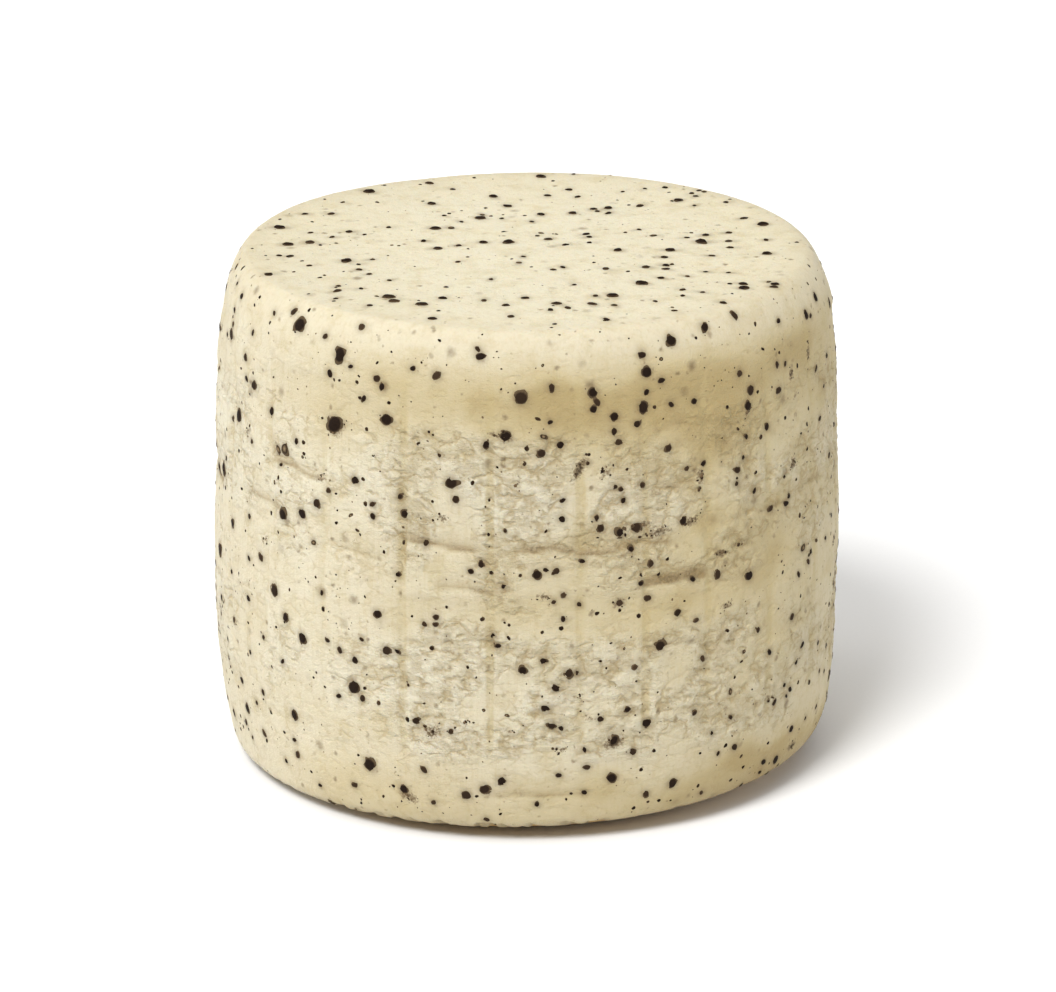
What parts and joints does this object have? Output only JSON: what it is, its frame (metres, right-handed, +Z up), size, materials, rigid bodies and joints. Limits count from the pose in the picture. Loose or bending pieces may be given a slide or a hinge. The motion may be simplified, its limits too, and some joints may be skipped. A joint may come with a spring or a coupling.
{
  "type": "peppered ricotta salata cheese wheel",
  "caption": "Whole squat wheel of pressed white cheese with a soft shoulder, mould marks down its side and black peppercorns in its skin.",
  "frame": {"origin": "middle of the wheel's box, at the flat middle of its underside", "axes": "+Z up through the wheel's axis, -Y towards the side that the picture shows, +X to its right"},
  "size_m": [0.1754, 0.1754, 0.1447],
  "materials": {
    "cheese": "moist matte cream curd skin, slightly waxy, with faint yellow stains and pepper specks",
    "pepper": "rough dark brown-black peppercorn skin"
  },
  "bodies": {
    "root": {"cheese": "cheese"}
  },
  "joints": []
}
